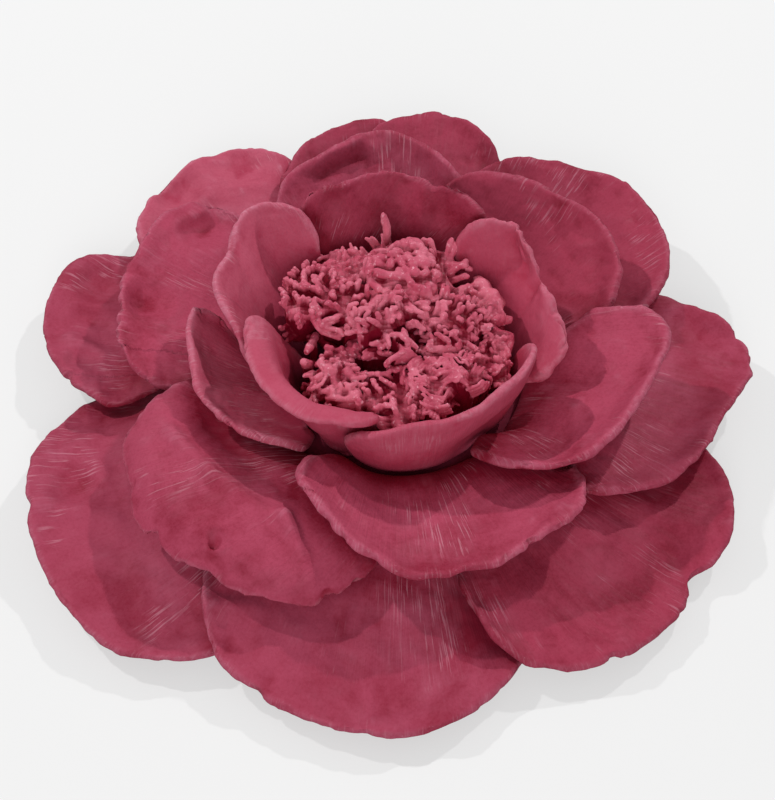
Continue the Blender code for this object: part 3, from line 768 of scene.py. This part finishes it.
    # pressed down: no strand stands further off the clay than the fingers left it
    near = add("GeometryNodeProximity", target_element="FACES")
    join(into.outputs["Clay"], near.inputs[0])
    off = vectors("SUBTRACT", where, near.outputs["Position"])
    held = maths("MINIMUM", maths("DIVIDE", into.outputs["Stand"], near.outputs["Distance"]), 1.0)
    pressed = add("GeometryNodeSetPosition")
    join(bent.outputs["Geometry"], pressed.inputs["Geometry"])
    join(vectors("ADD", near.outputs["Position"], scaled(off, held)), pressed.inputs["Position"])

    # thickness, uneven along the strand and narrower at its rounded tip
    taper = add("ShaderNodeFloatCurve")
    points = taper.mapping.curves[0].points
    points[0].location = (0.0, 1.0)
    points[1].location = (1.0, 0.6)
    points.new(0.88, 0.95)
    taper.mapping.update()
    join(share, taper.inputs["Value"])
    uneven = add("ShaderNodeTexNoise")
    join(420.0, uneven.inputs["Scale"])
    join(where, uneven.inputs["Vector"])
    swollen = add("ShaderNodeMapRange")
    for name, value in (("From Min", 0.3), ("From Max", 0.7), ("To Min", 0.8), ("To Max", 1.2)):
        join(value, swollen.inputs[name])
    join(uneven.outputs["Fac"], swollen.inputs["Value"])
    ring = add("GeometryNodeCurvePrimitiveCircle")
    join(8, ring.inputs["Resolution"])
    join(into.outputs["Radius"], ring.inputs["Radius"])
    tube = add("GeometryNodeCurveToMesh")
    join(pressed.outputs["Geometry"], tube.inputs["Curve"])
    join(ring.outputs["Curve"], tube.inputs["Profile Curve"])
    join(maths("MULTIPLY", taper.outputs["Value"], swollen.outputs["Result"]), tube.inputs["Scale"])
    join(True, tube.inputs["Fill Caps"])

    both = add("GeometryNodeJoinGeometry")
    join(into.outputs["Clay"], both.inputs["Geometry"])
    join(tube.outputs["Mesh"], both.inputs["Geometry"])
    whole = add("GeometryNodeRealizeInstances")
    join(both.outputs["Geometry"], whole.inputs["Geometry"])
    dress = add("GeometryNodeSetMaterial")
    join(whole.outputs["Geometry"], dress.inputs["Geometry"])
    join(into.outputs["Material"], dress.inputs["Material"])
    join(dress.outputs["Geometry"], out.inputs["Clay"])
    return tree


STRANDS = strand_tree()
SOCKETS = {s.name: s.identifier for s in STRANDS.interface.items_tree if s.in_out == "INPUT"}


CLUMP_FOOT = 0.004  # the lowest part of a clump, where it keeps its shape
CLUMP_SPREAD = 0.15  # how much wider than the solid its top is
BETWEEN = 0.15  # how high clay stands in a hollow, as a share of the clump's height
PRESSED = 0.008  # widths of a lump's unevenness: pressed places,
CREASED = 0.0065  # creases
PINCHED = 0.003  # and pinches
CELL = 0.001  # the tops of the strands are measured in cells this wide
AROUND = range(-2, 3)  # and compared with those of so many cells round them
# the next two set the painted shade of the strands
SHADE_DEPTHS = (-0.0024, 0.0004)  # from shut in to open: how far a place stands over the tops round it
SHADED = 0.009  # the foot of a clump is shut in up to here


def clump(node, name, grow, spacing, length, radius, lean, curl, stand, seed, strands=1, follow=0.2,
          spread=0.3, fan=0.04, wave=80.0, billow=0.0, fused=0.00028, soft=1):
    """A clump: a lump of clay, widened and lowered by some mm, with bundles of strands pressed on and fused.

    billow is how deep the creases of the lump are, in mm. The rest is in metres: spacing from bundle to
    bundle, the strands' length, radius and curl, and stand, how far off the lump they may stand. They lean
    one way, follow the lump's own faces and spread at random, and fan is the turn from strand to strand.
    wave is how many bends go to a metre. Cells of fused join the strands, and are smoothed soft times.
    """
    wide, lower = grow
    _, mesh = smooth_copy(node, name, 2)
    points = read_points(mesh)
    middle = (points.min(0) + points.max(0)) / 2
    low, top = points[:, 2].min(), points[:, 2].max()
    reach = np.linalg.norm(points[:, :2] - middle[:2], axis=1)
    upper = ease(points[:, 2], low + CLUMP_FOOT, top)
    points[:, :2] += (points[:, :2] - middle[:2]) / np.maximum(reach, 1e-5)[:, None] * wide / 1000
    points[:, :2] += (points[:, :2] - middle[:2]) * (upper * CLUMP_SPREAD)[:, None]
    points[:, 2] = low + (points[:, 2] - low) * (top - low - lower / 1000) / (top - low)
    clear = np.ones(len(points))
    for azimuth, distance, width in HOLLOWS:
        off = np.linalg.norm(points[:, :2] * 1000 - spot(azimuth, distance), axis=1)
        clear = np.minimum(clear, ease(off, width * 0.8, width * 1.4))
    points[:, 2] = low + (points[:, 2] - low) * (BETWEEN + (1 - BETWEEN) * clear)
    write_points(mesh, points)
    normals = read_normals(mesh)
    rough = lumps(points, PRESSED, seed, 3) * 1.2 + lumps(points, PINCHED, seed + 0.5) * 0.5
    crease = (np.abs(lumps(points, CREASED, seed + 0.8)) ** 0.6 - 0.45) * billow * 2
    points += normals * ((rough * 0.8 + crease) * ease(points[:, 2], low, low + CLUMP_FOOT))[:, None] / 1000
    write_points(mesh, points)
    keep(mesh, "clear", clear)
    mesh.materials.clear()
    holder = bpy.data.objects.new(name + "_growing", mesh)
    bpy.context.scene.collection.objects.link(holder)
    plant = holder.modifiers.new("strands", "NODES")
    plant.node_group = STRANDS
    for key, value in (("Spacing", spacing), ("Strands", strands), ("Length", length), ("Radius", radius),
                       ("Fan", fan), ("Lean", lean), ("Follow", follow), ("Spread", spread), ("Curl", curl),
                       ("Wave", wave), ("Stand", stand), ("Seed", seed), ("Material", strand_paint)):
        plant[SOCKETS[key]] = value
    melt = holder.modifiers.new("fused", "REMESH")
    melt.mode = "VOXEL"
    melt.voxel_size = fused
    soften = holder.modifiers.new("softened", "SMOOTH")
    soften.factor = 0.5
    soften.iterations = soft
    graph = bpy.context.evaluated_depsgraph_get()
    made = bpy.data.meshes.new_from_object(holder.evaluated_get(graph))
    bpy.data.objects.remove(holder)
    made.name = name

    # painted shade: how open each place is, dark where it lies deep below the tops around it and near the
    # clump's foot
    points = read_points(made)
    margin = len(AROUND) // 2
    cell = np.floor((points[:, :2] - points[:, :2].min(0)) / CELL).astype(int) + margin
    tops = np.full(cell.max(0) + margin + 1, points[:, 2].min())
    np.maximum.at(tops, (cell[:, 0], cell[:, 1]), points[:, 2])
    around = sum(tops[cell[:, 0] + a, cell[:, 1] + b] for a in AROUND for b in AROUND) / len(AROUND) ** 2
    keep(made, "unshaded", ease(points[:, 2] - around, *SHADE_DEPTHS) * ease(points[:, 2], low, low + SHADED))
    shown(made, name, strand_paint, "stamen_clay", node)


clump("stamen_crumb", "strands_crumb", grow=(0.4, 3.0), spacing=0.0014, length=0.003, radius=0.0006,
      lean=(-0.1, 0.0, 0.8), follow=0.5, spread=1.4, curl=0.004, wave=160.0, stand=0.003, seed=1)
clump("stamen_fan_left", "strands_fan_left", grow=(0.8, 2.0), spacing=0.0030, length=0.008, radius=0.00085,
      strands=3, lean=(-0.45, 0.1, 0.8), follow=0.3, spread=0.16, curl=0.0015, wave=60.0, stand=0.0026,
      seed=2, fused=0.00024)
clump("stamen_strands_left", "strands_left", grow=(1.0, 3.0), spacing=0.0030, length=0.010, radius=0.00085,
      strands=2, lean=(0.85, 0.5, 0.25), follow=0.0, spread=0.25, curl=0.003, wave=60.0, stand=0.0026,
      seed=3, fused=0.00025)
clump("stamen_smear", "strands_smear", grow=(0.8, 1.2), spacing=0.0046, length=0.015, radius=0.0013,
      strands=4, lean=(0.55, -0.75, 0.1), follow=0.0, spread=0.16, curl=0.0035, wave=45.0, stand=0.0008,
      seed=4, billow=0.5, fused=0.0003, soft=2)
clump("stamen_fan_right", "strands_fan_right", grow=(0.6, 3.0), spacing=0.0036, length=0.011, radius=0.0011,
      strands=2, fan=0.25, lean=(0.9, 0.35, 0.35), follow=0.1, curl=0.002, stand=0.0045, seed=5)
clump("stamen_flat_right", "strands_flat_right", grow=(0.4, 2.0), spacing=0.0050, length=0.006,
      radius=0.0011, strands=2, lean=(0.9, -0.2, 0.2), follow=0.1, curl=0.003, stand=0.0008, seed=6,
      billow=1.3, fused=0.0003, soft=2)
clump("stamen_centre", "strands_centre", grow=(1.2, 2.2), spacing=0.0026, length=0.008, radius=0.00085,
      strands=2, lean=(0.2, -0.7, 0.4), spread=0.9, curl=0.005, wave=110.0, stand=0.0030, seed=7,
      fused=0.00025)
clump("stamen_right", "strands_right", grow=(1.0, 2.5), spacing=0.0025, length=0.007, radius=0.00075,
      strands=2, lean=(0.5, -0.4, 0.5), spread=0.9, curl=0.005, wave=140.0, stand=0.0030, seed=8,
      fused=0.00025)
clump("stamen_pellets", "strands_pellets", grow=(0.6, 4.5), spacing=0.0020, length=0.0026, radius=0.0009,
      lean=(-0.2, -0.3, 0.8), follow=0.6, spread=0.8, curl=0.001, stand=0.0022, seed=9)
clump("stamen_left_strand", "strands_left_side", grow=(-1.5, 6.0), spacing=0.0100, length=0.009,
      radius=0.0013, lean=(-0.1, -0.05, 1), follow=0.0, spread=0.05, curl=0.001, stand=0.007, seed=10)
clump("stamen_left_lump", "strands_left_lump", grow=(0.8, 0.5), spacing=0.0026, length=0.0045,
      radius=0.0007, strands=2, lean=(-0.2, -0.4, 0.5), follow=0.3, spread=1.0, curl=0.006, wave=140.0,
      stand=0.0014, seed=11, billow=2.4, fused=0.00026)
clump("stamen_front_strands", "strands_front", grow=(0.8, 2.5), spacing=0.0036, length=0.011, radius=0.0008,
      strands=3, lean=(-0.85, 0.35, 0.15), follow=0.05, spread=0.2, curl=0.003, wave=70.0, stand=0.0022,
      seed=12)
clump("stamen_front_lump", "strands_front_lump", grow=(1.2, 1.0), spacing=0.0026, length=0.008,
      radius=0.00055, strands=4, lean=(-0.6, 0.3, 0.3), follow=0.15, spread=1.0, curl=0.004, wave=110.0,
      stand=0.0022, seed=13, billow=0.8, fused=0.00024)
clump("stamen_front_right", "strands_front_right", grow=(0.6, 3.0), spacing=0.0024, length=0.005,
      radius=0.0006, strands=3, lean=(0.0, 0.1, 0.8), follow=0.3, spread=0.9, curl=0.004, wave=150.0,
      stand=0.003, seed=14, fused=0.00026)
clump("stamen_back", "strands_back", grow=(0.4, 2.5), spacing=0.0028, length=0.006, radius=0.0007,
      strands=2, lean=(0, 0.0, 1), follow=0.4, spread=0.6, curl=0.003, stand=0.004, seed=15)

# The spike: one strand that stands up by itself at the back of the cup, bent as it dried and thickened where
# the fingers pinched its tip.

TALLER = 1.25  # it stands this much taller than its solid
SWAY = 0.0008  # and its tip this far to one side

_, mesh = smooth_copy("stamen_spike", "strand_spike", 3)
points = read_points(mesh)
low = points[:, 2].min()
rise = (points[:, 2] - low) / (points[:, 2].max() - low)
points[:, 2] = low + (points[:, 2] - low) * TALLER
points[:, 0] += np.sin(rise * 5.0) * SWAY * rise
points += read_normals(mesh) * (lumps(points, 0.002, 41.0) * 0.3 * rise + 0.35 * rise)[:, None] / 1000
write_points(mesh, points)
# painted shade, darker towards the spike's foot
keep(mesh, "unshaded", np.clip(0.4 + rise, 0, 1))
shown(mesh, "strand_spike", strand_paint, "stamen_clay", "stamen_spike")


# The table: a plain pale surface under the flower. It is lit evenly, keeps the flower's soft shadows, and
# runs out into the pale room around it.

ROOM_TONE = 0.913  # how pale the room looks
NEAR_GLOW = 0.50  # how much of that the table gives by itself near the flower
TABLE_END = (0.45, 1.6)  # it turns into the room between these distances

floor_paint, tree, shader = new_material("pale_table")
off = tree.nodes.new("ShaderNodeVectorMath")
off.operation = "LENGTH"
tree.links.new(object_place(tree), off.inputs[0])
far = ranged(tree, off.outputs["Value"], *TABLE_END)
tree.links.new(mixed(tree, far, (0.40, 0.40, 0.40), (0.0, 0.0, 0.0)), shader.inputs["Base Color"])
shader.inputs["Roughness"].default_value = 0.95
shader.inputs["Specular IOR Level"].default_value = 0.0
shader.inputs["Emission Color"].default_value = (1.0, 1.0, 1.0, 1)
rays = tree.nodes.new("ShaderNodeLightPath")
glow = tree.nodes.new("ShaderNodeMath")
glow.operation = "MULTIPLY"
tree.links.new(rays.outputs["Is Camera Ray"], glow.inputs[0])
tree.links.new(ranged(tree, far, 0.0, 1.0, NEAR_GLOW, ROOM_TONE), glow.inputs[1])
tree.links.new(glow.outputs["Value"], shader.inputs["Emission Strength"])
bpy.ops.mesh.primitive_plane_add(size=12, location=(0, 0, 0))
table = bpy.context.object
table.name = "table"
table.data.materials.append(floor_paint)

# The light: two small lamps behind the flower, right and left, that draw two crisp shadows of every rim, a
# wide soft one in front and an even room.

FLOWER = Vector((0, 0, 0.02))  # where the lamps point
SMALL_LAMP = 0.035
WIDE_LAMP = 0.9


def lamp(name, place, size, power):
    light = bpy.data.lights.new(name, "AREA")
    light.shape = "DISK"
    light.size = size
    light.energy = power
    made = bpy.data.objects.new(name, light)
    bpy.context.scene.collection.objects.link(made)
    made.location = place
    made.rotation_euler = (FLOWER - Vector(place)).to_track_quat("-Z", "Y").to_euler()


lamp("right_lamp", (0.58, 0.70, 0.81), SMALL_LAMP, 5.0)
lamp("left_lamp", (-0.74, 0.47, 0.83), SMALL_LAMP, 5.0)
lamp("front_fill", (-0.05, -1.1, 0.68), WIDE_LAMP, 7.5)

world = bpy.data.worlds.new("room")
bpy.context.scene.world = world
world.use_nodes = True
tree = world.node_tree
tree.nodes.clear()
seen = tree.nodes.new("ShaderNodeBackground")
seen.inputs["Color"].default_value = (ROOM_TONE, ROOM_TONE, ROOM_TONE, 1)
lit = tree.nodes.new("ShaderNodeBackground")
lit.inputs["Color"].default_value = (1, 1, 1, 1)
lit.inputs["Strength"].default_value = 0.32
rays = tree.nodes.new("ShaderNodeLightPath")
choose = tree.nodes.new("ShaderNodeMixShader")
result = tree.nodes.new("ShaderNodeOutputWorld")
tree.links.new(rays.outputs["Is Camera Ray"], choose.inputs["Fac"])
tree.links.new(lit.outputs["Background"], choose.inputs[1])
tree.links.new(seen.outputs["Background"], choose.inputs[2])
tree.links.new(choose.outputs["Shader"], result.inputs["Surface"])

# The camera: it looks at the flower from in front and above, with a lens that holds all of it and a little
# of the table around.

CAMERA_ABOVE = 52  # degrees over the table
CAMERA_PLACE = (-0.0024, -0.27625, 0.35461)

camera = bpy.data.cameras.new("camera")
camera.lens = 63.27
camera.sensor_width = 36
camera.clip_start = 0.01
eye = bpy.data.objects.new("camera", camera)
bpy.context.scene.collection.objects.link(eye)
eye.location = CAMERA_PLACE
eye.rotation_euler = (math.radians(90 - CAMERA_ABOVE), 0, 0)
bpy.context.scene.camera = eye
bpy.context.scene.view_settings.view_transform = "Standard"
